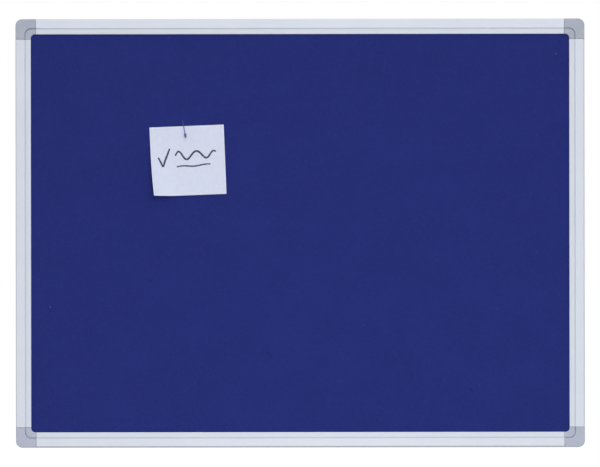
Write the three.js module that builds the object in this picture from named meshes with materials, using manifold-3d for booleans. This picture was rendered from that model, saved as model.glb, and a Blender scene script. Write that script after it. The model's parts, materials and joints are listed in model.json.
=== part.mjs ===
// A felt bulletin board: a felt-covered panel in a frame of four aluminium rails and four
// plastic corner pieces, with a paper note held by a pin.
// Millimetres, +Z up. The wall is the plane y = 0 and the front faces -Y.
// The origin lies on the rear face of the top rail, halfway along it.
//
// The board is drawn lying on its back, x along its width, y up its height and z from the
// wall to the front, counted from its centre, and is stood up by the last group.

import * as THREE from 'three';
import { mergeVertices } from 'three/addons/utils/BufferGeometryUtils.js';
import Module from 'manifold-3d';

const wasm = await Module();
wasm.setup();

// Outline of the board
const boardWidth = 600;
const boardHeight = 452;

// Space left between pieces that fit together, and how far a cutter runs past its cut
const clearance = 0.3;
const overrun = 2;

// Layers of the panel and lips of the frame, from the wall to the front
const rearLipThickness = 1.5;
const backSheetThickness = 0.5;
const coreThickness = 9;
const feltThickness = 2;
const frontLipThickness = 1.5;
const outerBandRise = 0.3;

// Section of a rail, from its outer edge inwards
const chamberWidth = 12.2;
const railWall = 1.2;
const faceWidth = 16.2;
const rearLipReach = 15.5;
const grooveInset = 9.8;
const grooveWidth = 1.2;
const grooveDepth = 1;
const lipFall = 0.2;
const lipEdgeRadius = 0.9;
const frontEdgeRadius = 1.3;
const rearEdgeRadius = 0.5;

// Corner piece
const cornerLeg = 21.3;
const cornerRadius = 7;
const cornerWall = 1.8;
const cornerFloor = 4;
const grooveBendRadius = 6;
const openingRadius = 4.3;
const panelBendRadius = 5;
const ribInset = 12.6;
const ribThickness = 1.5;
const wallHoleRadius = 2.3;

// Tongues of the corner piece, which enter the rails
const tongueLength = 28;
const tongueWall = 1.6;
const bossHalfLength = 3;

// Cap of the corner piece
const capThickness = 2.2;
const capHookWidth = 4.2;
const capHookThickness = 1.2;
const capHookDepth = 7;

// Self-tapping screws that hold the rails on the tongues
const screwInset = 14;
const screwRadius = 1.1;
const screwLength = 7.5;
const screwTipLength = 1.4;
const screwHeadRadius = 2.5;
const screwHeadHeight = 1.2;
const screwSink = 0.2;
const screwSlotWidth = 0.7;
const screwSlotDepth = 0.6;

// Pin: where its axis meets the felt, how it lies, and its sizes
const pinAcross = -124;
const pinUp = 118.8;
const pinLean = THREE.MathUtils.degToRad(11.2);
const pinTilt = THREE.MathUtils.degToRad(11);
const pinRadius = 0.4;
const pinExposed = 14.3;
const pinBuried = 11;
const pinPointLength = 3;
const pinSocketDepth = 3;
const pinHeadRadius = 1.3;
const pinHeadMouthRadius = 1;
const pinHeadHalfLength = 3;

// Note: where the pin crosses it, how it lies, and the curl of its lower left corner
const noteWidth = 78.4;
const noteHeight = 73.1;
const noteThickness = 0.2;
const noteGrip = 8;
const noteGripFromLeft = 36.4;
const noteGripFromTop = 2;
const noteTurn = THREE.MathUtils.degToRad(2.25);
const curlReach = 35;
const curlRadius = 51;
const curlLean = THREE.MathUtils.degToRad(23.7);

// Numbers of steps in the round shapes
const bendSteps = 12;
const edgeSteps = 4;
const holeSides = 24;
const pinSides = 12;
const headSteps = 8;
const noteStepsAcross = 14;
const noteStepsUp = 12;

// Heights above the wall, worked out from the layers
const backSheetRear = rearLipThickness + clearance;
const coreRear = backSheetRear + backSheetThickness + clearance;
const feltRear = coreRear + coreThickness + clearance;
const feltFront = feltRear + feltThickness;
const channelFront = feltFront + clearance;
const innerBandFront = channelFront + frontLipThickness;
const frameFront = innerBandFront + outerBandRise;
const grooveFloor = frameFront - grooveDepth;
const lipFront = innerBandFront - lipFall;
const capRear = frameFront - capThickness;
const capSeat = capRear - clearance;
const rearChannelDepth = screwSink + screwHeadHeight + clearance;
const chamberRear = rearChannelDepth + railWall;

// Insets from the outer edge, worked out from the section
const recessInset = grooveInset + clearance;
const grooveInnerInset = grooveInset + grooveWidth;
const chamberMiddle = chamberWidth / 2;
const rearChannelHalfWidth = screwHeadRadius + clearance;
const rearFlatInset = (chamberMiddle + rearChannelHalfWidth + rearLipReach) / 2;
const panelInset = chamberWidth + clearance;

// Centres of the bends in the corner, as insets from both outer edges
const grooveBendCentre = grooveInset + grooveWidth / 2 + grooveBendRadius;
const panelBendCentre = chamberWidth + panelBendRadius;
const openingCentre = faceWidth + openingRadius;

// Booleans

function toSolid(geometry) {
  geometry.deleteAttribute('normal');
  geometry.deleteAttribute('uv');
  const merged = mergeVertices(geometry);
  const mesh = new wasm.Mesh({
    numProp: 3,
    vertProperties: merged.attributes.position.array,
    triVerts: new Uint32Array(merged.index.array),
  });
  return new wasm.Manifold(mesh);
}

function toGeometry(solid) {
  const mesh = solid.getMesh();
  const geometry = new THREE.BufferGeometry();
  geometry.setAttribute('position', new THREE.BufferAttribute(mesh.vertProperties, mesh.numProp));
  geometry.setIndex(new THREE.BufferAttribute(mesh.triVerts, 1));
  geometry.computeVertexNormals();
  return geometry;
}

// Basic solids

// A block between two opposite corners
function block(low, high) {
  const [x0, y0, z0] = low;
  const [x1, y1, z1] = high;
  const geometry = new THREE.BoxGeometry(x1 - x0, y1 - y0, z1 - z0);
  geometry.translate((x0 + x1) / 2, (y0 + y1) / 2, (z0 + z1) / 2);
  return toSolid(geometry);
}

// A round bar along z
function bar(x, y, radius, rear, front) {
  const geometry = new THREE.CylinderGeometry(radius, radius, front - rear, holeSides);
  geometry.rotateX(Math.PI / 2);
  geometry.translate(x, y, (rear + front) / 2);
  return toSolid(geometry);
}

// A flat plate between two heights
function plate(shape, rear, front) {
  const geometry = new THREE.ExtrudeGeometry(shape, {
    depth: front - rear,
    bevelEnabled: false,
  });
  geometry.translate(0, 0, rear);
  return toSolid(geometry);
}

// A plate whose front edges are rounded, and whose rear edges are too
function roundedPlate(shape, rear, front, radius) {
  const geometry = new THREE.ExtrudeGeometry(shape, {
    depth: front - rear - 2 * radius,
    bevelEnabled: true,
    bevelThickness: radius,
    bevelSize: radius,
    bevelOffset: -radius,
    bevelSegments: edgeSteps,
  });
  geometry.translate(0, 0, rear + radius);
  return toSolid(geometry);
}

// Plan shapes of the corner, counted from the outer corner of the board

// A line that runs at one inset from both outer edges and bends round a centre
function bendLine(line, reach) {
  const { inset, centre } = line;
  const points = [new THREE.Vector2(reach, inset)];
  for (let step = 0; step <= bendSteps; step += 1) {
    const angle = -Math.PI / 2 - (Math.PI / 2) * (step / bendSteps);
    const x = centre + (centre - inset) * Math.cos(angle);
    const y = centre + (centre - inset) * Math.sin(angle);
    points.push(new THREE.Vector2(x, y));
  }
  points.push(new THREE.Vector2(inset, reach));
  return points;
}

// The band between two such lines, up to a reach along both legs
function bandShape(outer, inner, reach) {
  const back = bendLine(inner, reach).reverse();
  return new THREE.Shape([...bendLine(outer, reach), ...back]);
}

const outerLine = { inset: 0, centre: cornerRadius };
const beyondOuterLine = { inset: -overrun, centre: cornerRadius };
const trayLine = { inset: cornerWall, centre: cornerRadius };
const capLine = { inset: grooveInset, centre: grooveBendCentre };
const recessLine = { inset: recessInset, centre: grooveBendCentre };
const grooveInnerLine = { inset: grooveInnerInset, centre: grooveBendCentre };
const panelLine = { inset: chamberWidth, centre: panelBendCentre };
const rearLipLine = { inset: rearLipReach, centre: cornerLeg };
const openingLine = { inset: faceWidth, centre: openingCentre };

// Rails

// Section of a rail: x from the outer edge inwards, y from the wall to the front
function railSection() {
  const channelStart = chamberMiddle - rearChannelHalfWidth;
  const channelEnd = chamberMiddle + rearChannelHalfWidth;
  const section = new THREE.Shape();
  section.moveTo(rearEdgeRadius, 0);
  section.lineTo(channelStart, 0);
  section.lineTo(channelStart, rearChannelDepth);
  section.lineTo(channelEnd, rearChannelDepth);
  section.lineTo(channelEnd, 0);
  section.lineTo(rearLipReach, 0);
  section.lineTo(rearLipReach, rearLipThickness);
  section.lineTo(chamberWidth, rearLipThickness);
  section.lineTo(chamberWidth, channelFront);
  section.lineTo(faceWidth, channelFront);
  section.absarc(
    faceWidth - lipEdgeRadius, lipFront - lipEdgeRadius, lipEdgeRadius, 0, Math.PI / 2);
  section.lineTo(grooveInnerInset, innerBandFront);
  section.lineTo(grooveInnerInset, grooveFloor);
  section.lineTo(grooveInset, grooveFloor);
  section.lineTo(grooveInset, frameFront);
  section.absarc(
    frontEdgeRadius, frameFront - frontEdgeRadius, frontEdgeRadius, Math.PI / 2, Math.PI);
  section.absarc(
    rearEdgeRadius, rearEdgeRadius, rearEdgeRadius, Math.PI, 1.5 * Math.PI);

  const chamber = new THREE.Path();
  chamber.moveTo(railWall, chamberRear);
  chamber.lineTo(chamberWidth - railWall, chamberRear);
  chamber.lineTo(chamberWidth - railWall, channelFront);
  chamber.lineTo(railWall, channelFront);
  chamber.closePath();
  section.holes.push(chamber);
  return section;
}

// A rail that lies along x with its outer edge on y = 0
function railGeometry(sideLength) {
  const length = sideLength - 2 * (cornerLeg + clearance);
  const geometry = new THREE.ExtrudeGeometry(railSection(), {
    depth: length,
    bevelEnabled: false,
    curveSegments: edgeSteps,
  });
  const alongX = new THREE.Matrix4().makeBasis(
    new THREE.Vector3(0, 1, 0),
    new THREE.Vector3(0, 0, 1),
    new THREE.Vector3(1, 0, 0),
  );
  geometry.applyMatrix4(alongX);
  geometry.translate(-length / 2, 0, 0);
  let rail = toSolid(geometry);
  const holePlace = sideLength / 2 - cornerLeg - screwInset;
  for (const side of [-1, 1]) {
    const hole = bar(
      side * holePlace, chamberMiddle, screwRadius + clearance,
      rearChannelDepth - overrun, chamberRear + overrun);
    rail = rail.subtract(hole);
  }
  return toGeometry(rail);
}

// Corner pieces, drawn for the lower left corner with the outer corner at x = y = 0

// The same solid on the leg along y
function onOtherLeg(solid) {
  return solid.mirror([1, -1, 0]);
}

// A hollowed tongue along x that enters the rail's chamber
function tongue() {
  const near = railWall + clearance;
  const far = chamberWidth - railWall - clearance;
  const rear = chamberRear + clearance;
  const front = channelFront - clearance;
  const tip = cornerLeg + tongueLength;
  const screwPlace = cornerLeg + screwInset;
  const body = block([cornerLeg - cornerWall, near, rear], [tip, far, front]);
  const firstPocket = block(
    [cornerLeg + tongueWall, near + tongueWall, rear + tongueWall],
    [screwPlace - bossHalfLength, far - tongueWall, front + overrun]);
  const secondPocket = block(
    [screwPlace + bossHalfLength, near + tongueWall, rear + tongueWall],
    [tip - tongueWall, far - tongueWall, front + overrun]);
  const pilot = bar(
    screwPlace, chamberMiddle, screwRadius + clearance,
    rear - overrun, rearChannelDepth + screwLength);
  return body.subtract(firstPocket).subtract(secondPocket).subtract(pilot);
}

// A rib across the tray beside the wall screw
function rib() {
  return block(
    [ribInset, cornerWall / 2, cornerFloor - cornerWall],
    [ribInset + ribThickness, chamberWidth, capSeat]);
}

// The lip over the felt, inside the groove, rounded along the opening
function frontBand() {
  const beyondLeg = cornerLeg + overrun;
  const band = roundedPlate(
    bandShape(recessLine, openingLine, beyondLeg),
    channelFront - lipEdgeRadius, innerBandFront, lipEdgeRadius);
  const kept = block([0, 0, channelFront], [cornerLeg, cornerLeg, frameFront]);
  const groove = plate(
    bandShape(recessLine, grooveInnerLine, beyondLeg), grooveFloor, frameFront);
  return band.intersect(kept).subtract(groove);
}

function cornerGeometry() {
  const body = plate(bandShape(outerLine, panelLine, cornerLeg), 0, grooveFloor);
  const rearLip = plate(bandShape(outerLine, rearLipLine, cornerLeg), 0, rearLipThickness);
  const tray = plate(
    bandShape(trayLine, recessLine, cornerLeg - cornerWall), cornerFloor, frameFront);
  const capRecess = plate(
    bandShape(beyondOuterLine, recessLine, cornerLeg), capSeat, frameFront + overrun);
  const wallHole = bar(
    chamberMiddle, chamberMiddle, wallHoleRadius, -overrun, cornerFloor + overrun);
  const corner = body
    .add(rearLip)
    .add(frontBand())
    .subtract(tray)
    .add(rib())
    .add(onOtherLeg(rib()))
    .add(tongue())
    .add(onOtherLeg(tongue()))
    .subtract(capRecess)
    .subtract(wallHole);
  return toGeometry(corner);
}

// A hook of the cap, beside the outer wall of the tray
function capHook() {
  const cellStart = ribInset + ribThickness;
  const cellEnd = cornerLeg - cornerWall;
  const middle = (cellStart + cellEnd) / 2;
  const near = cornerWall + clearance;
  return block(
    [middle - capHookWidth / 2, near, capRear - capHookDepth],
    [middle + capHookWidth / 2, near + capHookThickness, capRear + capThickness / 2]);
}

function capGeometry() {
  const beyondLeg = cornerLeg + overrun;
  const rounded = roundedPlate(
    bandShape(outerLine, panelLine, beyondLeg),
    capRear - frontEdgeRadius, frameFront, frontEdgeRadius);
  const outline = plate(
    bandShape(beyondOuterLine, capLine, cornerLeg), capRear, frameFront + overrun);
  const cap = rounded
    .intersect(outline)
    .add(capHook())
    .add(onOtherLeg(capHook()));
  return toGeometry(cap);
}

// A pan-head screw along z, its head to the wall, with a slot across the head
function screwGeometry() {
  const headFront = screwSink + screwHeadHeight;
  const tip = headFront + screwLength;
  const profile = [
    new THREE.Vector2(0, screwSink),
    new THREE.Vector2(screwHeadRadius - screwHeadHeight / 2, screwSink),
    new THREE.Vector2(screwHeadRadius, screwSink + screwHeadHeight / 2),
    new THREE.Vector2(screwHeadRadius, headFront),
    new THREE.Vector2(screwRadius, headFront),
    new THREE.Vector2(screwRadius, tip - screwTipLength),
    new THREE.Vector2(0, tip),
  ];
  const turned = new THREE.LatheGeometry(profile, holeSides);
  turned.rotateX(Math.PI / 2);
  const slot = block(
    [-screwHeadRadius - overrun, -screwSlotWidth / 2, screwSink - overrun],
    [screwHeadRadius + overrun, screwSlotWidth / 2, screwSink + screwSlotDepth]);
  return toGeometry(toSolid(turned).subtract(slot));
}

// Panel

// The outline shared by the felt, the core and the back sheet
function panelShape() {
  const line = { inset: panelInset, centre: panelBendCentre };
  const quarter = bendLine(line, boardHeight / 2).slice(1, -1);
  const halfWidth = boardWidth / 2;
  const halfHeight = boardHeight / 2;
  const lowerLeft = quarter.map((p) => new THREE.Vector2(p.x - halfWidth, p.y - halfHeight));
  const upperLeft = lowerLeft.map((p) => new THREE.Vector2(p.x, -p.y)).reverse();
  const left = [...lowerLeft, ...upperLeft];
  const right = left.map((p) => new THREE.Vector2(-p.x, p.y)).reverse();
  return new THREE.Shape([...left, ...right]);
}

// Where the pin lies: its axis leaves the felt, leans to the right and tilts to the front
const pinFoot = new THREE.Vector3(pinAcross, pinUp, feltFront);
const pinInPlane = new THREE.Vector3(Math.sin(pinLean), -Math.cos(pinLean), 0);
const pinDirection = new THREE.Vector3(
  pinInPlane.x * Math.cos(pinTilt),
  pinInPlane.y * Math.cos(pinTilt),
  Math.sin(pinTilt),
);
const pinRotation = new THREE.Quaternion().setFromUnitVectors(
  new THREE.Vector3(0, 1, 0), pinDirection);

// The slanted hole that the pin makes in the felt and the core
function pinHole() {
  const radius = pinRadius + clearance;
  const inside = pinBuried + clearance;
  const outside = radius / Math.tan(pinTilt) + overrun;
  const geometry = new THREE.CylinderGeometry(radius, radius, inside + outside, pinSides);
  geometry.translate(0, (outside - inside) / 2, 0);
  geometry.applyQuaternion(pinRotation);
  geometry.translate(pinFoot.x, pinFoot.y, pinFoot.z);
  return toSolid(geometry);
}

function feltGeometry() {
  return toGeometry(plate(panelShape(), feltRear, feltFront).subtract(pinHole()));
}

function coreGeometry() {
  const core = plate(panelShape(), coreRear, coreRear + coreThickness);
  return toGeometry(core.subtract(pinHole()));
}

function backSheetGeometry() {
  return toGeometry(plate(panelShape(), backSheetRear, backSheetRear + backSheetThickness));
}

// Pin, drawn along y with the felt's surface at y = 0

function pinShaftGeometry() {
  const top = pinExposed + pinSocketDepth - clearance;
  const profile = [
    new THREE.Vector2(0, -pinBuried),
    new THREE.Vector2(pinRadius, pinPointLength - pinBuried),
    new THREE.Vector2(pinRadius, top),
    new THREE.Vector2(0, top),
  ];
  return toGeometry(toSolid(new THREE.LatheGeometry(profile, pinSides)));
}

// A long bead with a socket for the shaft
function pinHeadGeometry() {
  const socketRadius = pinRadius + clearance;
  const socketTop = pinExposed + pinSocketDepth;
  const mouthAngle = -Math.acos(pinHeadMouthRadius / pinHeadRadius);
  const middle = pinExposed - pinHeadHalfLength * Math.sin(mouthAngle);
  const profile = [
    new THREE.Vector2(0, socketTop),
    new THREE.Vector2(socketRadius, socketTop),
    new THREE.Vector2(socketRadius, pinExposed),
  ];
  for (let step = 0; step < headSteps; step += 1) {
    const angle = THREE.MathUtils.lerp(mouthAngle, Math.PI / 2, step / headSteps);
    const x = pinHeadRadius * Math.cos(angle);
    const y = middle + pinHeadHalfLength * Math.sin(angle);
    profile.push(new THREE.Vector2(x, y));
  }
  profile.push(new THREE.Vector2(0, middle + pinHeadHalfLength));
  return toGeometry(toSolid(new THREE.LatheGeometry(profile, pinSides)));
}

// Note

// The sheet lies flat behind the pin and curls to the front at its lower left corner
function noteGeometry() {
  const geometry = new THREE.BoxGeometry(
    noteWidth, noteHeight, noteThickness, noteStepsAcross, noteStepsUp, 1);
  geometry.translate(
    noteWidth / 2 - noteGripFromLeft, noteGripFromTop - noteHeight / 2, noteThickness / 2);
  const curlX = -Math.cos(curlLean);
  const curlY = -Math.sin(curlLean);
  const cornerX = -noteGripFromLeft;
  const cornerY = noteGripFromTop - noteHeight;
  const points = geometry.attributes.position;
  for (let index = 0; index < points.count; index += 1) {
    const x = points.getX(index);
    const y = points.getY(index);
    const z = points.getZ(index);
    const toCorner = (cornerX - x) * curlX + (cornerY - y) * curlY;
    const past = curlReach - toCorner;
    if (past > 0) {
      const angle = past / curlRadius;
      const shift = (curlRadius - z) * Math.sin(angle) - past;
      const lift = curlRadius - (curlRadius - z) * Math.cos(angle);
      points.setXYZ(index, x + curlX * shift, y + curlY * shift, lift);
    }
  }
  return toGeometry(toSolid(geometry));
}

// Materials

function material(colour, roughness, metalness) {
  return new THREE.MeshStandardMaterial({ color: colour, roughness, metalness });
}

const aluminium = () => material('#d5dbe6', 0.45, 0.9);
const cornerPlastic = () => material('#aeb4c3', 0.5, 0);
const feltBlue = () => material('#273074', 0.95, 0);
const softboard = () => material('#a98c63', 0.9, 0);
const greyCard = () => material('#8f8d88', 0.85, 0);
const zincSteel = () => material('#a9abad', 0.4, 0.9);
const pinSteel = () => material('#8a88ac', 0.3, 0.9);
const pinPlastic = () => material('#5f5c87', 0.3, 0);
const paper = () => material('#d1d8eb', 0.8, 0);

// Assembly

function piece(name, geometry, finish) {
  const mesh = new THREE.Mesh(geometry, finish);
  mesh.name = name;
  return mesh;
}

// The four sides, each turned a quarter from the last: outer edge on the board's outline
function addRails(board) {
  const names = ['rail_bottom', 'rail_right', 'rail_top', 'rail_left'];
  names.forEach((name, turn) => {
    const isHorizontal = turn % 2 === 0;
    const sideLength = isHorizontal ? boardWidth : boardHeight;
    const distance = (isHorizontal ? boardHeight : boardWidth) / 2;
    const angle = turn * Math.PI / 2;
    const rail = piece(name, railGeometry(sideLength), aluminium());
    rail.position.set(distance * Math.sin(angle), -distance * Math.cos(angle), 0);
    rail.rotation.z = angle;
    board.add(rail);
  });
}

// The four corners, each with its cap and its two screws
function addCorners(board) {
  const places = [
    { name: 'bottom_left', sideX: -1, sideY: -1 },
    { name: 'bottom_right', sideX: 1, sideY: -1 },
    { name: 'top_right', sideX: 1, sideY: 1 },
    { name: 'top_left', sideX: -1, sideY: 1 },
  ];
  const screwPlace = cornerLeg + screwInset;
  places.forEach(({ name, sideX, sideY }, turn) => {
    const corner = new THREE.Group();
    corner.position.set(sideX * boardWidth / 2, sideY * boardHeight / 2, 0);
    corner.rotation.z = turn * Math.PI / 2;
    corner.add(piece(`corner_${name}`, cornerGeometry(), cornerPlastic()));
    corner.add(piece(`cap_${name}`, capGeometry(), cornerPlastic()));
    const firstScrew = piece(`screw_${name}_1`, screwGeometry(), zincSteel());
    firstScrew.position.set(screwPlace, chamberMiddle, 0);
    corner.add(firstScrew);
    const secondScrew = piece(`screw_${name}_2`, screwGeometry(), zincSteel());
    secondScrew.position.set(chamberMiddle, screwPlace, 0);
    corner.add(secondScrew);
    board.add(corner);
  });
}

function addPanel(board) {
  board.add(piece('felt_cover', feltGeometry(), feltBlue()));
  board.add(piece('core_board', coreGeometry(), softboard()));
  board.add(piece('back_sheet', backSheetGeometry(), greyCard()));
}

function addPin(board) {
  const pin = new THREE.Group();
  pin.position.copy(pinFoot);
  pin.quaternion.copy(pinRotation);
  pin.add(piece('pin_shaft', pinShaftGeometry(), pinSteel()));
  pin.add(piece('pin_head', pinHeadGeometry(), pinPlastic()));
  board.add(pin);
}

function addNote(board) {
  const note = piece('note_sheet', noteGeometry(), paper());
  note.position.copy(pinFoot).addScaledVector(pinInPlane, noteGrip);
  note.position.z = feltFront + clearance;
  note.rotation.z = noteTurn;
  board.add(note);
}

const board = new THREE.Group();
addRails(board);
addCorners(board);
addPanel(board);
addPin(board);
addNote(board);

// Stand the board up and bring the origin to the rear face of the top rail
board.rotation.x = Math.PI / 2;
board.position.z = rearFlatInset - boardHeight / 2;

const felt_bulletin_board = new THREE.Group();
felt_bulletin_board.add(board);

export default felt_bulletin_board;
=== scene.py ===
# A felt bulletin board in an aluminium frame, dressed for rendering.
# Metres, +Z up. The board hangs in the XZ plane, its front faces -Y.

import json
import math
import random

import bmesh
import bpy
from mathutils import Matrix, Vector, noise


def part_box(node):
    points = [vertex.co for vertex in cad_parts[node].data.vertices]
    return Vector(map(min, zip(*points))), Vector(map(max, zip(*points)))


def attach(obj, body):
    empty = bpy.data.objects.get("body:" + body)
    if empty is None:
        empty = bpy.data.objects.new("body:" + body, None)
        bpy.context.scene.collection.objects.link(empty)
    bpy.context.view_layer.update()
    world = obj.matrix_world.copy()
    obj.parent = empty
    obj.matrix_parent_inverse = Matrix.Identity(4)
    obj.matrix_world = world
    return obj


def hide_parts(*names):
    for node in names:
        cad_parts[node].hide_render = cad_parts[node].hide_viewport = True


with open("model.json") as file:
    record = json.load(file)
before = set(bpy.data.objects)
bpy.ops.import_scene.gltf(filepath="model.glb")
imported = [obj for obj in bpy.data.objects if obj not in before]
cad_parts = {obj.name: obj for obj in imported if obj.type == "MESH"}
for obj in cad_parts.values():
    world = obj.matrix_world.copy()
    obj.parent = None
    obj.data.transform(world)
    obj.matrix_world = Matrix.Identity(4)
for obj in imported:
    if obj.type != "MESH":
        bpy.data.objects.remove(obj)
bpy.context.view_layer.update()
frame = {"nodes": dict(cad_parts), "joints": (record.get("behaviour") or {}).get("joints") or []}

MM = 0.001

board_low = Vector(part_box("corner_bottom_left")[0])
board_high = Vector(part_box("corner_top_right")[1])
board_centre = (board_low + board_high) / 2
board_width = board_high.x - board_low.x
felt_low, felt_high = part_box("felt_cover")
felt_front = felt_low.y
face_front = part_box("rail_top")[0].y
face_width = 16.2 * MM
joints = {joint["name"]: joint for joint in frame["joints"]}


# Node helpers

def new_material(name):
    """A new material, its node tree and its Principled shader."""
    made = bpy.data.materials.new(name)
    made.use_nodes = True
    return made, made.node_tree, made.node_tree.nodes["Principled BSDF"]


def srgb(red, green, blue):
    """A colour given as it looks on screen, 0 to 255, as the linear colour that a shader takes."""
    def linear(value):
        share = value / 255
        return share / 12.92 if share <= 0.04045 else ((share + 0.055) / 1.055) ** 2.4
    return (linear(red), linear(green), linear(blue), 1.0)


def grey(level):
    """A grey as a shader takes it, 0 to 1."""
    return (level, level, level, 1.0)


def place(tree, scale):
    """The place on the object, stretched by a scale for each axis, in metres."""
    coordinates = tree.nodes.new("ShaderNodeTexCoord")
    mapping = tree.nodes.new("ShaderNodeMapping")
    mapping.inputs["Scale"].default_value = scale
    tree.links.new(coordinates.outputs["Object"], mapping.inputs["Vector"])
    return mapping.outputs["Vector"]


def add_noise(tree, vector, detail=2.0, rough=0.5, distortion=0.0):
    """Noise from 0 to 1, with one feature about every unit of the vector."""
    node = tree.nodes.new("ShaderNodeTexNoise")
    node.inputs["Scale"].default_value = 1.0
    node.inputs["Detail"].default_value = detail
    node.inputs["Roughness"].default_value = rough
    node.inputs["Distortion"].default_value = distortion
    tree.links.new(vector, node.inputs["Vector"])
    return node.outputs["Fac"]


def ramp(tree, value, stops):
    """Colours along a value from 0 to 1: stops are (place, colour)."""
    node = tree.nodes.new("ShaderNodeValToRGB")
    elements = node.color_ramp.elements
    while len(elements) < len(stops):
        elements.new(0.5)
    for element, (at, colour) in zip(elements, stops):
        element.position = at
        element.color = colour
    tree.links.new(value, node.inputs["Fac"])
    return node.outputs["Color"]


def remap(tree, value, low, high, start=0.0, end=1.0):
    """A value from start to end, brought between low and high."""
    node = tree.nodes.new("ShaderNodeMapRange")
    node.inputs["From Min"].default_value = start
    node.inputs["From Max"].default_value = end
    node.inputs["To Min"].default_value = low
    node.inputs["To Max"].default_value = high
    tree.links.new(value, node.inputs["Value"])
    return node.outputs["Result"]


def mix(tree, first, second, share):
    """Two colours mixed by a share, which is a number or a value."""
    node = tree.nodes.new("ShaderNodeMix")
    node.data_type = "RGBA"
    for socket, source in ((node.inputs[6], first), (node.inputs[7], second)):
        if isinstance(source, tuple):
            socket.default_value = source
        else:
            tree.links.new(source, socket)
    if isinstance(share, float):
        node.inputs[0].default_value = share
    else:
        tree.links.new(share, node.inputs[0])
    return node.outputs[2]


def larger(tree, first, second):
    """The larger of two values."""
    node = tree.nodes.new("ShaderNodeMath")
    node.operation = "MAXIMUM"
    tree.links.new(first, node.inputs[0])
    tree.links.new(second, node.inputs[1])
    return node.outputs["Value"]


def seen_directly(tree):
    """1 to the camera and in reflections, 0 to the light that it gives to other surfaces."""
    path = tree.nodes.new("ShaderNodeLightPath")
    seen = larger(tree, path.outputs["Is Camera Ray"], path.outputs["Is Glossy Ray"])
    return larger(tree, seen, path.outputs["Is Transmission Ray"])


def bump(tree, shader, height, strength, depth):
    """A height from 0 to 1 as relief of a depth in metres."""
    node = tree.nodes.new("ShaderNodeBump")
    node.inputs["Strength"].default_value = strength
    node.inputs["Distance"].default_value = depth
    tree.links.new(height, node.inputs["Height"])
    tree.links.new(node.outputs["Normal"], shader.inputs["Normal"])


# Materials

def rail_painted_shade(tree, axis, outer, inner, edge_shade, reach):
    """Painted shade on a rail's metal, 1 where none is painted: a painted shade line as far as
    reach from its outer front edge, painted shade in its groove and a lighter painted shade on the
    band inside it.
    Outer and inner are where the edges of its face lie on an axis."""
    coordinates = tree.nodes.new("ShaderNodeTexCoord")
    parts = tree.nodes.new("ShaderNodeSeparateXYZ")
    tree.links.new(coordinates.outputs["Object"], parts.inputs["Vector"])
    inset = remap(tree, parts.outputs[axis], 0.0, 1.0, outer, inner)
    blur = 0.3 * MM
    groove_start, groove_end = 9.8 * MM, 11.0 * MM
    # Painted shade levels for the groove's recess and for the band inside it
    groove_shade, inner_band_shade = 0.82, 0.94
    levels = (
        (reach - blur, edge_shade), (reach + blur, 1.0),
        (groove_start - blur, 1.0), (groove_start, groove_shade),
        (groove_end, groove_shade), (groove_end + blur, inner_band_shade))
    face = ramp(tree, inset, [(at / face_width, grey(level)) for at, level in levels])
    side_start, side_end = face_front + 1.6 * MM, face_front + 2.2 * MM
    side = remap(tree, parts.outputs["Y"], 0.0, 1.0, side_start, side_end)
    return larger(tree, face, side)


def anodised_aluminium(name, along, tone, shade_layout):
    """Satin anodised aluminium with the fine lines that extruding leaves along a rail; tone is
    painted light, making this rail's copy lighter by so many steps of 255 for how light falls on
    it, and the last argument places painted shade on its outer edge, in its groove and on the band
    inside it."""
    made, tree, shader = new_material(name)
    fine, long = 9000.0, 14.0
    scale = tuple(long if axis == along else fine for axis in "xyz")
    lines = add_noise(tree, place(tree, scale), detail=3.0, rough=0.6)
    cloud = add_noise(tree, place(tree, (30.0,) * 3), detail=3.0)
    drawn = ramp(tree, lines, [(0.25, srgb(209 + tone, 215 + tone, 227 + tone)),
                               (0.75, srgb(219 + tone, 225 + tone, 236 + tone))])
    shade = ramp(tree, cloud, [(0.3, srgb(211 + tone, 217 + tone, 229 + tone)),
                               (0.7, srgb(219 + tone, 224 + tone, 234 + tone))])
    unshaded = mix(tree, drawn, shade, 0.4)
    # Painted shade: this darker colour is mixed in along the rail's outer front edge, in its groove
    # and on the band inside it
    shade_colour = srgb(150, 155, 163)
    colour = mix(tree, shade_colour, unshaded, rail_painted_shade(tree, *shade_layout))
    tree.links.new(colour, shader.inputs["Base Color"])
    tree.links.new(remap(tree, lines, 0.34, 0.46), shader.inputs["Roughness"])
    shader.inputs["Metallic"].default_value = 0.2
    shader.inputs["Specular IOR Level"].default_value = 0.2
    bump(tree, shader, lines, 0.2, 0.02 * MM)
    return made


def moulded_plastic(name, colour, deeper):
    """Satin moulded plastic with a fine spark-eroded grain."""
    made, tree, shader = new_material(name)
    grain = add_noise(tree, place(tree, (2600.0,) * 3), detail=2.0, rough=0.6)
    cloud = add_noise(tree, place(tree, (60.0,) * 3), detail=3.0)
    tree.links.new(ramp(tree, cloud, [(0.3, deeper), (0.7, colour)]), shader.inputs["Base Color"])
    tree.links.new(remap(tree, grain, 0.42, 0.58), shader.inputs["Roughness"])
    bump(tree, shader, grain, 0.25, 0.03 * MM)
    return made


def strands(tree, turn, along, across):
    """Thin lines that run about one way in the board's plane: 1 on a line, 0 beside it."""
    coordinates = tree.nodes.new("ShaderNodeTexCoord")
    mapping = tree.nodes.new("ShaderNodeMapping")
    mapping.vector_type = "TEXTURE"
    mapping.inputs["Rotation"].default_value = (0, turn, 0)
    mapping.inputs["Scale"].default_value = (along, across, across)
    tree.links.new(coordinates.outputs["Object"], mapping.inputs["Vector"])
    value = add_noise(tree, mapping.outputs["Vector"], detail=1.0, distortion=0.9)
    return ramp(tree, value, [(0.462, grey(0.0)), (0.5, grey(1.0)), (0.538, grey(0.0))])


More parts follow.
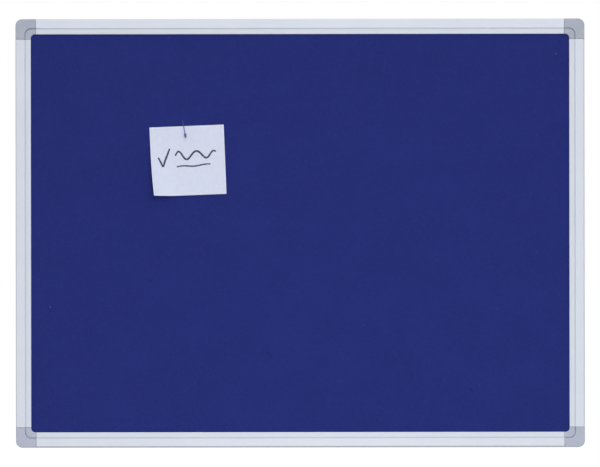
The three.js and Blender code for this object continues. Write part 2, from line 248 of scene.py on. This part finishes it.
def felt(name):
    """Needled felt: fine matted fibres that cross each other, over slow changes of tone."""
    made, tree, shader = new_material(name)
    fibres = add_noise(tree, place(tree, (1700.0,) * 3), detail=3.0, rough=0.7, distortion=1.6)
    swirl = add_noise(tree, place(tree, (330.0,) * 3), detail=4.0, rough=0.65, distortion=1.6)
    patches = add_noise(tree, place(tree, (26.0,) * 3), detail=4.0, rough=0.6)
    loops = add_noise(tree, place(tree, (95.0,) * 3), detail=1.0, distortion=2.8)
    ground = ramp(tree, fibres, [(0.28, srgb(19, 28, 94)), (0.72, srgb(37, 49, 125))])
    clumps = ramp(tree, swirl, [(0.3, srgb(23, 33, 101)), (0.7, srgb(35, 45, 120))])
    drift = ramp(tree, patches, [(0.35, srgb(27, 37, 109)), (0.65, srgb(35, 44, 120))])
    colour = mix(tree, mix(tree, ground, clumps, 0.4), drift, 0.4)
    layers = ((0.35, 4.2, 0.62), (1.15, 3.4, 0.5), (1.95, 4.6, 0.7), (2.7, 3.0, 0.45))
    matted = None
    for turn, along, across in layers:
        layer = strands(tree, turn, along * MM, across * MM)
        matted = larger(tree, matted, layer) if matted else layer
    strength = remap(tree, matted, 0.0, 0.5)
    colour = mix(tree, colour, srgb(50, 61, 136), strength)
    faint = ramp(tree, loops, [(0.48, grey(0.0)), (0.5, grey(0.22)), (0.52, grey(0.0))])
    colour = mix(tree, colour, srgb(56, 67, 140), faint)
    tree.links.new(colour, shader.inputs["Base Color"])
    shader.inputs["Roughness"].default_value = 0.95
    shader.inputs["Specular IOR Level"].default_value = 0.1
    shader.inputs["Sheen Weight"].default_value = 0.05
    shader.inputs["Sheen Roughness"].default_value = 0.6
    relief = tree.nodes.new("ShaderNodeMath")
    relief.operation = "ADD"
    tree.links.new(swirl, relief.inputs[0])
    tree.links.new(matted, relief.inputs[1])
    bump(tree, shader, relief.outputs["Value"], 0.6, 0.12 * MM)
    return made


def thread(name, light, deep):
    """Loose wool fibre, uneven in tone along its length."""
    made, tree, shader = new_material(name)
    tone = add_noise(tree, place(tree, (700.0,) * 3), detail=2.0)
    tree.links.new(ramp(tree, tone, [(0.35, deep), (0.65, light)]), shader.inputs["Base Color"])
    shader.inputs["Roughness"].default_value = 0.9
    shader.inputs["Specular IOR Level"].default_value = 0.1
    return made


def paper(name):
    """Plain memo paper with a faint cloud of fibres."""
    made, tree, shader = new_material(name)
    cloud = add_noise(tree, place(tree, (220.0,) * 3), detail=4.0, rough=0.6)
    fibre = add_noise(tree, place(tree, (1800.0,) * 3), detail=2.0, distortion=1.0)
    tone = ramp(tree, cloud, [(0.3, srgb(211, 217, 237)), (0.7, srgb(217, 222, 241))])
    tree.links.new(tone, shader.inputs["Base Color"])
    shader.inputs["Roughness"].default_value = 0.85
    shader.inputs["Specular IOR Level"].default_value = 0.3
    bump(tree, shader, fibre, 0.2, 0.02 * MM)
    return made


def ink(name):
    """Dark marker ink, denser where the stroke lingered."""
    made, tree, shader = new_material(name)
    density = add_noise(tree, place(tree, (500.0,) * 3), detail=3.0)
    tone = ramp(tree, density, [(0.3, srgb(44, 48, 68)), (0.7, srgb(70, 75, 98))])
    tree.links.new(tone, shader.inputs["Base Color"])
    shader.inputs["Roughness"].default_value = 0.6
    return made


def steel(name, light, dark, rough, along_scale):
    """Drawn or plated steel with faint marks."""
    made, tree, shader = new_material(name)
    marks = add_noise(tree, place(tree, along_scale), detail=3.0)
    tree.links.new(ramp(tree, marks, [(0.3, dark), (0.7, light)]), shader.inputs["Base Color"])
    tree.links.new(remap(tree, marks, rough * 0.8, rough * 1.2), shader.inputs["Roughness"])
    shader.inputs["Metallic"].default_value = 1.0
    bump(tree, shader, marks, 0.15, 0.02 * MM)
    return made


def bead_plastic(name):
    """The glossy violet plastic of the pin's head."""
    made, tree, shader = new_material(name)
    cloud = add_noise(tree, place(tree, (900.0,) * 3), detail=2.0)
    tone = ramp(tree, cloud, [(0.3, srgb(84, 79, 134)), (0.7, srgb(102, 97, 152))])
    tree.links.new(tone, shader.inputs["Base Color"])
    tree.links.new(remap(tree, cloud, 0.18, 0.3), shader.inputs["Roughness"])
    return made


def fibre_board(name, light, dark, scale, depth):
    """Pressed fibres: the softboard core and the card behind it."""
    made, tree, shader = new_material(name)
    flakes = add_noise(tree, place(tree, scale), detail=5.0, rough=0.7, distortion=1.2)
    tree.links.new(ramp(tree, flakes, [(0.3, dark), (0.7, light)]), shader.inputs["Base Color"])
    shader.inputs["Roughness"].default_value = 0.9
    bump(tree, shader, flakes, 0.4, depth)
    return made


# Meshes

def finished_mesh(name, shape, sharp=None):
    """A bmesh as a mesh, shaded smooth but for edges that turn by more than an angle in degrees."""
    bmesh.ops.recalc_face_normals(shape, faces=shape.faces)
    mesh = bpy.data.meshes.new(name)
    shape.to_mesh(mesh)
    shape.free()
    mesh.shade_smooth()
    if sharp:
        mesh.set_sharp_from_angle(angle=math.radians(sharp))
    return mesh


def close_sheet(shape, front, rear):
    """Faces on two grids of points that lie over each other, and all around between their rims."""
    last_row, last_column = len(front) - 1, len(front[0]) - 1
    for r in range(last_row):
        for c in range(last_column):
            shape.faces.new((front[r][c], front[r][c + 1], front[r + 1][c + 1], front[r + 1][c]))
            shape.faces.new((rear[r][c], rear[r + 1][c], rear[r + 1][c + 1], rear[r][c + 1]))
    rim = [(0, c) for c in range(last_column)]
    rim += [(r, last_column) for r in range(last_row)]
    rim += [(last_row, c) for c in range(last_column, 0, -1)]
    rim += [(r, 0) for r in range(last_row, 0, -1)]
    for (r0, c0), (r1, c1) in zip(rim, rim[1:] + rim[:1]):
        shape.faces.new((front[r0][c0], rear[r0][c0], rear[r1][c1], front[r1][c1]))


def close_tube(shape, rings):
    """Faces along rings with the same number of points, and one over each end."""
    for lower, upper in zip(rings, rings[1:]):
        for k in range(len(lower)):
            after = (k + 1) % len(lower)
            shape.faces.new((lower[k], lower[after], upper[after], upper[k]))
    shape.faces.new(rings[0])
    shape.faces.new(rings[-1])


def new_piece(name, mesh, body, material):
    piece = bpy.data.objects.new(name, mesh)
    bpy.context.scene.collection.objects.link(piece)
    mesh.materials.clear()
    mesh.materials.append(material)
    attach(piece, body)
    return piece


def refined(node, body, material, edge):
    """A node's own solid, with every sharp edge broken by a small radius."""
    same_place = 0.001 * MM
    flat, sharp_from, smooth_to = 1, 35, 40
    shape = bmesh.new()
    shape.from_mesh(frame["nodes"][node].data)
    bmesh.ops.remove_doubles(shape, verts=shape.verts, dist=same_place)
    bmesh.ops.dissolve_limit(
        shape, angle_limit=math.radians(flat), verts=shape.verts, edges=shape.edges)
    inner = [e for e in shape.edges if len(e.link_faces) == 2]
    sharp = [e for e in inner if e.calc_face_angle() > math.radians(sharp_from)]
    bmesh.ops.bevel(
        shape, geom=sharp, offset=edge, offset_type="OFFSET", segments=2, profile=0.5,
        affect="EDGES", clamp_overlap=True)
    bmesh.ops.dissolve_degenerate(shape, dist=same_place, edges=shape.edges)
    mesh = finished_mesh(node + "_refined", shape, smooth_to)
    piece = new_piece(node + "_shell", mesh, body, material)
    weighted = piece.modifiers.new("even_faces", "WEIGHTED_NORMAL")
    weighted.keep_sharp = True
    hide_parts(node)


def grid_lines(low, high, step, around, reach, fine):
    """Places of grid lines from low to high, a step apart, and finer around one place."""
    count = round((high - low) / step)
    lines = [low + (high - low) * i / count for i in range(count + 1)]
    steps = round(reach / fine)
    lines += [around + fine * i for i in range(-steps, steps + 1)]
    lines = sorted(v for v in lines if low <= v <= high)
    too_near = 0.4 * fine
    kept = [lines[0]]
    for value in lines[1:]:
        if value - kept[-1] > too_near:
            kept.append(value)
    kept[-1] = high
    return kept


# Pin: its axis comes from the joint, its length and radius from the nodes

pin_axis = Vector(joints["pin_pull"]["axis"]).normalized()


def extent_along(node, direction, through):
    """Where a node starts and ends along a line, and its greatest distance from the line."""
    points = [v.co - through for v in frame["nodes"][node].data.vertices]
    along = [p.dot(direction) for p in points]
    away = [(p - direction * a).length for p, a in zip(points, along)]
    return min(along), max(along), max(away)


shaft_low, shaft_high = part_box("pin_shaft")
pin_tip = Vector((shaft_low.x, shaft_high.y, shaft_high.z))
pin_foot = pin_tip + pin_axis * ((felt_front - pin_tip.y) / pin_axis.y)
shaft_start, shaft_end, shaft_radius = extent_along("pin_shaft", pin_axis, pin_foot)


def turned(name, profile, sides, through, direction):
    """A solid of revolution about a line: the profile is (radius, place along the line)."""
    shape = bmesh.new()
    rings = []
    for radius, along in profile:
        if radius == 0:
            rings.append([shape.verts.new((0, 0, along))])
            continue
        ring = []
        for side in range(sides):
            angle = 2 * math.pi * side / sides
            spot = (radius * math.cos(angle), radius * math.sin(angle), along)
            ring.append(shape.verts.new(spot))
        rings.append(ring)
    for lower, upper in zip(rings, rings[1:]):
        for side in range(sides):
            after = (side + 1) % sides
            corners = [lower[side % len(lower)], lower[after % len(lower)],
                       upper[after % len(upper)], upper[side % len(upper)]]
            shape.faces.new(list(dict.fromkeys(corners)))
    mesh = finished_mesh(name, shape, 50)
    turn = direction.to_track_quat("Z", "Y").to_matrix().to_4x4()
    mesh.transform(Matrix.Translation(through) @ turn)
    return mesh


def make_pin():
    point = 3 * MM
    shoulder = shaft_start + point
    profile = [(0, shaft_start), (shaft_radius * 0.3, shaft_start + point * 0.2),
               (shaft_radius * 0.68, shaft_start + point * 0.55), (shaft_radius, shoulder)]
    pieces = 12
    for i in range(1, pieces + 1):
        profile.append((shaft_radius, shoulder + (shaft_end - shaft_start - point) * i / pieces))
    profile.append((0, shaft_end))
    shaft = new_piece(
        "pin_steel", turned("pin_steel", profile, 20, pin_foot, pin_axis), "pin",
        steel("pin_steel", srgb(112, 100, 192), srgb(88, 78, 166), 0.3, (900.0,) * 3))
    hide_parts("pin_shaft")

    mouth, crown, bead = extent_along("pin_head", pin_axis, pin_foot)
    mouth_share = 10 / 13
    mouth_angle = -math.acos(mouth_share)
    half_length = (crown - mouth) / (1 - math.sin(mouth_angle))
    middle = crown - half_length
    socket = shaft_radius + 0.05 * MM
    depth = mouth + 2.6 * MM
    rim = 0.12 * MM
    profile = [(0, depth), (socket, depth), (socket, mouth + rim), (socket + rim, mouth),
               (bead * mouth_share - rim, mouth)]
    steps = 20
    for i in range(steps):
        angle = mouth_angle + (math.pi / 2 - mouth_angle) * (i + 0.5) / steps
        profile.append((bead * math.cos(angle), middle + half_length * math.sin(angle)))
    profile.append((0, crown))
    head = new_piece(
        "pin_bead", turned("pin_bead", profile, 36, pin_foot, pin_axis), "pin",
        bead_plastic("pin_bead"))
    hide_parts("pin_head")


# Felt

def pin_ridge(x, z):
    """How far the pin's shaft lifts the felt that lies over it, up to where it comes out."""
    run = Vector((pin_axis.x, pin_axis.z))
    rise = -pin_axis.y / run.length
    run.normalize()
    offset = Vector((x - pin_foot.x, z - pin_foot.z))
    along, across = offset.dot(run), offset.cross(run)
    lead = 0.8 * MM
    start = -shaft_radius / rise - lead
    mouth = 0.6 * MM
    half_width = 0.75 * MM
    height = max(min(along, 0) - start, 0) * rise
    height *= min(max(1 - along / mouth, 0), 1)
    return height * math.exp(-(across / half_width) ** 2)


def felt_depth(x, z):
    """How far the felt's face lies below its own plane, to which it comes back around the pin."""
    wave = noise.noise(Vector((x, 0.0, z)) * 28) * 0.5 + 0.5
    grain = noise.noise(Vector((x, 0.3, z)) * 240) * 0.5 + 0.5
    nap = noise.noise(Vector((x, 0.7, z)) * 900) * 0.5 + 0.5
    sunk = (0.16 * wave + 0.12 * grain + 0.07 * nap) * MM
    held_around_pin = 3.4 * MM
    away = math.hypot(x - pin_foot.x, z - pin_foot.z)
    return sunk * (1 - math.exp(-(away / held_around_pin) ** 2)) - pin_ridge(x, z)


def make_felt():
    """The felt as one sheet: gently uneven, lifted around the pin, its edges under the frame."""
    step, fine = 2.6 * MM, 0.25 * MM
    fine_reach = 3.6 * MM
    columns = grid_lines(felt_low.x, felt_high.x, step, pin_foot.x, fine_reach, fine)
    rows = grid_lines(felt_low.z, felt_high.z, step, pin_foot.z, fine_reach, fine)
    corner = 4.7 * MM
    shape = bmesh.new()

    def rounded(x, z):
        """The place on the felt's outline for a grid point outside the rounded corner."""
        cx = min(max(x, felt_low.x + corner), felt_high.x - corner)
        cz = min(max(z, felt_low.z + corner), felt_high.z - corner)
        away = math.hypot(x - cx, z - cz)
        if away <= corner:
            return x, z
        return cx + (x - cx) * corner / away, cz + (z - cz) * corner / away

    front, back = [], []
    for z in rows:
        front_row, back_row = [], []
        for x in columns:
            px, pz = rounded(x, z)
            front_row.append(shape.verts.new((px, felt_front + felt_depth(px, pz), pz)))
            back_row.append(shape.verts.new((px, felt_high.y, pz)))
        front.append(front_row)
        back.append(back_row)
    close_sheet(shape, front, back)
    mesh = finished_mesh("felt_sheet", shape, 60)
    sheet = new_piece("felt_sheet", mesh, "board", felt("felt"))
    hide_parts("felt_cover")


def add_thread(shape, path, radius):
    """A closed three-sided thread along a path that lies about in the board's plane."""
    sides = 3
    end_share = 0.45
    rings = []
    for i, point in enumerate(path):
        ahead = (path[min(i + 1, len(path) - 1)] - path[max(i - 1, 0)]).normalized()
        side = ahead.cross(Vector((0, 1, 0))).normalized()
        up = side.cross(ahead)
        thin = end_share if i in (0, len(path) - 1) else 1.0
        ring = []
        for k in range(sides):
            angle = math.pi / 2 + 2 * math.pi * k / sides
            outward = side * math.cos(angle) + up * math.sin(angle)
            ring.append(shape.verts.new(point + outward * radius * thin))
        rings.append(ring)
    close_tube(shape, rings)


def thread_path(draw, x, z, length, curl, lift):
    """A loose fibre on the felt: it bends as it goes, and both its ends sink in."""
    pieces = 6
    sunk_ends = 0.05 * MM
    wander = 0.16
    heading = draw.uniform(0, 2 * math.pi)
    bend = draw.gauss(0, curl) / pieces
    path = []
    for i in range(pieces + 1):
        share = i / pieces
        rise = lift * math.sin(math.pi * share) - sunk_ends
        path.append(Vector((x, felt_front + felt_depth(x, z) - rise, z)))
        x += math.cos(heading) * length / pieces
        z += math.sin(heading) * length / pieces
        heading += bend + draw.gauss(0, wander)
    return path


def threads_piece(name, paths, radii, material):
    shape = bmesh.new()
    for path, radius in zip(paths, radii):
        add_thread(shape, path, radius)
    new_piece(name, finished_mesh(name, shape), "board", material)


def make_fuzz(draw):
    """Fibres that stand a little out of the felt."""
    fibres = 3400
    curl = 2.4
    margin = 19 * MM
    pin_margin = 3 * MM
    x_low, x_high = board_low.x + margin, board_high.x - margin
    z_low, z_high = board_low.z + margin, board_high.z - margin
    paths, radii = [], []
    while len(paths) < fibres:
        x, z = draw.uniform(x_low, x_high), draw.uniform(z_low, z_high)
        length, lift = draw.uniform(3, 10) * MM, draw.uniform(0.06, 0.18) * MM
        path = thread_path(draw, x, z, length, curl, lift)
        inside = all(x_low < p.x < x_high and z_low < p.z < z_high for p in path)
        clear = all(math.hypot(p.x - pin_foot.x, p.z - pin_foot.z) > pin_margin for p in path)
        if inside and clear:
            paths.append(path)
            radii.append(draw.uniform(0.03, 0.06) * MM)
    wool = thread("felt_fuzz", srgb(60, 70, 146), srgb(38, 47, 118))
    threads_piece("felt_fuzz", paths, radii, wool)


def make_lint(draw):
    """The few bits of lint that the felt has caught: places in metres from the board's centre."""
    curl, lift = 1.2, 0.09 * MM
    pale = ((0.2706, 0.1896), (-0.2632, -0.0768))
    faint = ((0.0168, -0.0210), (0.2064, -0.0799), (0.1895, -0.1610), (0.0663, -0.0968),
             (0.2485, 0.1022), (-0.2611, -0.0388), (0.2507, -0.0199))
    dark = ((-0.1591, -0.0494), (-0.1573, -0.0498), (-0.0352, -0.1256), (-0.0324, -0.1277),
            (-0.0302, -0.1292), (0.1780, -0.1648), (0.1801, -0.1650))
    for name, places, tuft, light, deep in (
            ("felt_lint_pale", pale, 1, srgb(196, 203, 226), srgb(168, 176, 208)),
            ("felt_lint_faint", faint, 1, srgb(118, 126, 176), srgb(96, 104, 160)),
            ("felt_lint_dark", dark, 4, srgb(14, 21, 76), srgb(8, 14, 62))):
        spread = 0.4 * MM * (tuft - 1)
        paths = []
        for x, z in places:
            for _ in range(tuft):
                start_x = board_centre.x + x + draw.uniform(-spread, spread)
                start_z = board_centre.z + z + draw.uniform(-spread, spread)
                length = draw.uniform(1.1, 1.7) * MM + spread
                paths.append(thread_path(draw, start_x, start_z, length, curl, lift))
        radii = [draw.uniform(0.09, 0.13) * MM for _ in paths]
        threads_piece(name, paths, radii, thread(name, light, deep))


# Note

note_width = 78.4 * MM
note_height = 73.1 * MM
note_thickness = 0.2 * MM
note_grip_from_left = 36.4 * MM
note_grip_from_top = 2 * MM
note_turn = math.radians(2.25)
curl_reach = 35 * MM
curl_radius = 51 * MM
curl_lean = math.radians(23.7)
note_pivot = Vector(joints["note_swing"]["pos_m"])
note_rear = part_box("note_sheet")[1].y


def on_note(across, up, out):
    """A point on the curled note: across from its left edge, up from its lower edge, out from its
    rear."""
    x = across - note_grip_from_left
    z = up - note_height + note_grip_from_top
    lift = out
    curl = Vector((-math.cos(curl_lean), -math.sin(curl_lean)))
    corner = Vector((-note_grip_from_left, note_grip_from_top - note_height))
    past = curl_reach - (corner - Vector((x, z))).dot(curl)
    if past > 0:
        angle = past / curl_radius
        shift = (curl_radius - out) * math.sin(angle) - past
        x += curl.x * shift
        z += curl.y * shift
        lift = curl_radius - (curl_radius - out) * math.cos(angle)
    turned_x = x * math.cos(note_turn) - z * math.sin(note_turn)
    turned_z = x * math.sin(note_turn) + z * math.cos(note_turn)
    return Vector((note_pivot.x + turned_x, note_rear - lift, note_pivot.z + turned_z))


def make_note():
    columns, rows = 60, 56
    shape = bmesh.new()
    sides = []
    for out in (0, note_thickness):
        face = []
        for r in range(rows + 1):
            row = []
            for c in range(columns + 1):
                across, up = note_width * c / columns, note_height * r / rows
                row.append(shape.verts.new(on_note(across, up, out)))
            face.append(row)
        sides.append(face)
    rear, front = sides
    close_sheet(shape, front, rear)
    mesh = finished_mesh("note_paper", shape, 50)
    note = new_piece("note_paper", mesh, "note", paper("note_paper"))
    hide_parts("note_sheet")


def make_writing():
    """A pen's tick, a loose wave and a line under it on the note, as thin ribbons of ink: they
    spell nothing. Lengths are in millimetres from the note's lower left corner."""
    tick = [(8, 41), (10.6, 35.4), (12.8, 31.6), (15.4, 38), (20.5, 50)]
    wave_start, wave_length, wave_level, wave_climb = 26, 43, 42, 0.8
    tallest, shrinks, waves, uneven = 4.6, 1.2, 2.4, 0.5
    line_start, line_length, line_level, line_climb = 27, 36, 30.4, 1.4
    waver, waver_pace = 0.6, 9
    wave, under = [], []
    pieces = 40
    for i in range(pieces + 1):
        share = i / pieces
        turn = 2 * math.pi * waves * share + uneven * math.sin(2 * math.pi * share)
        height = (tallest - shrinks * share) * math.sin(turn)
        wave.append((wave_start + wave_length * share, wave_level + wave_climb * share + height))
        waved = waver * math.sin(waver_pace * share)
        under.append((line_start + line_length * share, line_level + line_climb * share + waved))
    shape = bmesh.new()
    for stroke, widest in ((tick, 2.1), (wave, 2.0), (under, 1.6)):
        add_stroke(shape, stroke, widest)
    mesh = finished_mesh("note_ink", shape, 50)
    new_piece("note_ink", mesh, "note", ink("note_ink"))


def add_stroke(shape, stroke, widest):
    """A closed ribbon with round ends that lies on the note along a stroke of (across, up) in
    millimetres."""
    step = 0.3
    end_share, narrowest = 0.72, 0.2
    uneven, uneven_pace = 0.07, 1.3
    low, high = note_thickness + 0.01 * MM, note_thickness + 0.05 * MM
    points = smooth_line(stroke, step)
    passed = [0.0]
    for before, after in zip(points, points[1:]):
        passed.append(passed[-1] + (after - before).length)
    rings = []
    for i, point in enumerate(points):
        ahead = (points[min(i + 1, len(points) - 1)] - points[max(i - 1, 0)]).normalized()
        side = Vector((-ahead.y, ahead.x))
        share = passed[i] / passed[-1]
        half = widest / 2 * (end_share + (1 - end_share) * math.sin(math.pi * share) ** 0.5)
        half *= 1 + uneven * math.sin(passed[i] * uneven_pace)
        to_end = min(passed[i], passed[-1] - passed[i], half)
        half *= max(narrowest, math.sqrt(1 - (1 - to_end / half) ** 2))
        left, right = (point + side * half) * MM, (point - side * half) * MM
        section = ((left, low), (left, high), (right, high), (right, low))
        rings.append([shape.verts.new(on_note(p.x, p.y, out)) for p, out in section])
    close_tube(shape, rings)


def smooth_line(corners, step):
    """Points about a step apart on a smooth line through the corners."""
    corners = [Vector(c) for c in corners]
    points = []
    for i in range(len(corners) - 1):
        before, start = corners[max(i - 1, 0)], corners[i]
        end, after = corners[i + 1], corners[min(i + 2, len(corners) - 1)]
        pieces = max(1, round((end - start).length / step))
        for k in range(pieces):
            t = k / pieces
            points.append(0.5 * (2 * start + (end - before) * t
                                 + (2 * before - 5 * start + 4 * end - after) * t * t
                                 + (3 * start - before - 3 * end + after) * t ** 3))
    return points + [corners[-1]]


# Assembly

# For each rail the axis it runs along, its tone (painted light: each rail's copy of the aluminium
# is lighter or darker for how light falls on that side), and then what the painted shade takes: the
# axis across it, where its face's outer and inner edges lie, how light its painted edge shade is
# and how far that reaches
rails = {
    "top": ("x", 3, "Z", board_high.z, board_high.z - face_width, 1.0, 0.6 * MM),
    "bottom": ("x", 1, "Z", board_low.z, board_low.z + face_width, 0.3, 1.6 * MM),
    "left": ("z", 0, "X", board_low.x, board_low.x + face_width, 0.45, 0.8 * MM),
    "right": ("z", -0.5, "X", board_high.x, board_high.x - face_width, 0.7, 1.6 * MM),
}
# Painted light and shade: how many steps of 255 each corner's copy of the plastic is lighter,
# lighter at the bottom and darker at the top for how light falls on them
corner_painted_light = {"top_left": -3, "top_right": -4, "bottom_left": 5, "bottom_right": 3}
zinc = steel("screw_zinc", srgb(190, 192, 192), srgb(150, 152, 156), 0.35, (700.0,) * 3)
edge = 0.12 * MM

for name, (along, tone, *shade_layout) in rails.items():
    metal = anodised_aluminium(f"aluminium_{name}", along, tone, shade_layout)
    refined(f"rail_{name}", "board", metal, edge)
for corner, tone in corner_painted_light.items():
    # Painted light: each corner's plastic colour is shifted by its step, a little more in blue
    blue_painted_light = 1.4 * tone
    light = srgb(176 + tone, 182 + tone, 198 + blue_painted_light)
    deep = srgb(170 + tone, 176 + tone, 192 + blue_painted_light)
    plastic = moulded_plastic(f"plastic_{corner}", light, deep)
    refined(f"corner_{corner}", "board", plastic, edge)
    refined(f"cap_{corner}", f"cap_{corner}", plastic, edge)
    for number in (1, 2):
        refined(f"screw_{corner}_{number}", "board", zinc, edge)
make_felt()
fibre_draw = random.Random(31)
make_fuzz(fibre_draw)
make_lint(fibre_draw)
make_note()
make_writing()
make_pin()

softboard = fibre_board(
    "softboard", srgb(178, 148, 106), srgb(140, 110, 72), (400.0,) * 3, 0.2 * MM)
back_card = fibre_board(
    "back_card", srgb(150, 147, 140), srgb(134, 131, 124), (350.0,) * 3, 0.05 * MM)
for node, material in (("core_board", softboard), ("back_sheet", back_card)):
    carried = frame["nodes"][node]
    carried.data.materials.clear()
    carried.data.materials.append(material)


# Floor, light and camera

def make_floor():
    """A pale floor well below the hanging board: white to the camera, and it keeps the shadow.
    Its lift is smaller near the board, where the lamps light it too."""
    floor_drop = 0.35
    floor_size = 60
    near, far = 1.0, 3.5
    near_lift, far_lift = 0.57, 0.68
    floor_place = (0, 0, board_low.z - floor_drop)
    bpy.ops.mesh.primitive_plane_add(size=floor_size, location=floor_place)
    floor = bpy.context.object
    floor.name = "floor"
    made, tree, shader = new_material("floor")
    shader.inputs["Base Color"].default_value = grey(0.41)
    shader.inputs["Roughness"].default_value = 1.0
    shader.inputs["Specular IOR Level"].default_value = 0.0
    coordinates = tree.nodes.new("ShaderNodeTexCoord")
    away = tree.nodes.new("ShaderNodeVectorMath")
    away.operation = "LENGTH"
    tree.links.new(coordinates.outputs["Object"], away.inputs[0])
    lift = tree.nodes.new("ShaderNodeMath")
    lift.operation = "MULTIPLY"
    tree.links.new(seen_directly(tree), lift.inputs[0])
    strength = remap(tree, away.outputs["Value"], near_lift, far_lift, near, far)
    tree.links.new(strength, lift.inputs[1])
    shader.inputs["Emission Color"].default_value = grey(1.0)
    tree.links.new(lift.outputs["Value"], shader.inputs["Emission Strength"])
    floor.data.materials.append(made)


def make_world():
    """A white backdrop to the camera, and an ambient light that comes mostly from above."""
    from_above = 0.95
    world = bpy.data.worlds.new("studio")
    bpy.context.scene.world = world
    world.use_nodes = True
    tree = world.node_tree
    background = tree.nodes["Background"]
    background.inputs["Color"].default_value = grey(1.0)
    direction = tree.nodes.new("ShaderNodeTexCoord")
    parts = tree.nodes.new("ShaderNodeSeparateXYZ")
    tree.links.new(direction.outputs["Generated"], parts.inputs["Vector"])
    ambient = remap(tree, parts.outputs["Z"], 0.0, from_above, -1.0, 1.0)
    strength = tree.nodes.new("ShaderNodeMix")
    strength.data_type = "FLOAT"
    tree.links.new(seen_directly(tree), strength.inputs[0])
    tree.links.new(ambient, strength.inputs[2])
    strength.inputs[3].default_value = 1.0
    tree.links.new(strength.outputs[0], background.inputs["Strength"])


def softbox(name, place_at, size, power):
    """A square area lamp that faces the board's centre."""
    lamp = bpy.data.lights.new(name, "AREA")
    lamp.shape = "SQUARE"
    lamp.size = size
    lamp.energy = power
    light = bpy.data.objects.new(name, lamp)
    bpy.context.scene.collection.objects.link(light)
    light.location = place_at
    light.rotation_euler = (board_centre - light.location).to_track_quat("-Z", "Y").to_euler()
    light.visible_glossy = False
    light.visible_camera = False


def make_lights():
    softbox("key", board_centre + Vector((0.9, -3.6, 1.9)), 2.4, 42)
    softbox("front_fill", board_centre + Vector((0.05, -1.15, -0.36)), 0.36, 3.5)
    softbox("rear_fill", board_centre + Vector((-1.2, 2.2, 1.2)), 1.6, 26)


def make_camera():
    """The photograph's view: square on, from far away, turned by less than a tenth of a degree."""
    picture_width = 600
    board_in_picture = 569.2
    board_above_middle = 0.42
    board_right_of_middle = 0.2
    distance = 3.0
    roll = math.radians(0.075)
    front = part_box("cap_top_left")[0].y
    camera = bpy.data.objects.new("camera", bpy.data.cameras.new("camera"))
    bpy.context.scene.collection.objects.link(camera)
    view_width = board_width * picture_width / board_in_picture
    camera.data.lens = camera.data.sensor_width * distance / view_width
    pixel = view_width / picture_width
    camera.location = (board_centre.x - board_right_of_middle * pixel, front - distance,
                       board_centre.z - board_above_middle * pixel)
    camera.rotation_mode = "XYZ"
    camera.rotation_euler = (math.pi / 2, roll, 0)
    camera.data.clip_end = 100
    bpy.context.scene.camera = camera


make_floor()
make_world()
make_lights()
make_camera()

bpy.context.scene.view_settings.view_transform = "Standard"
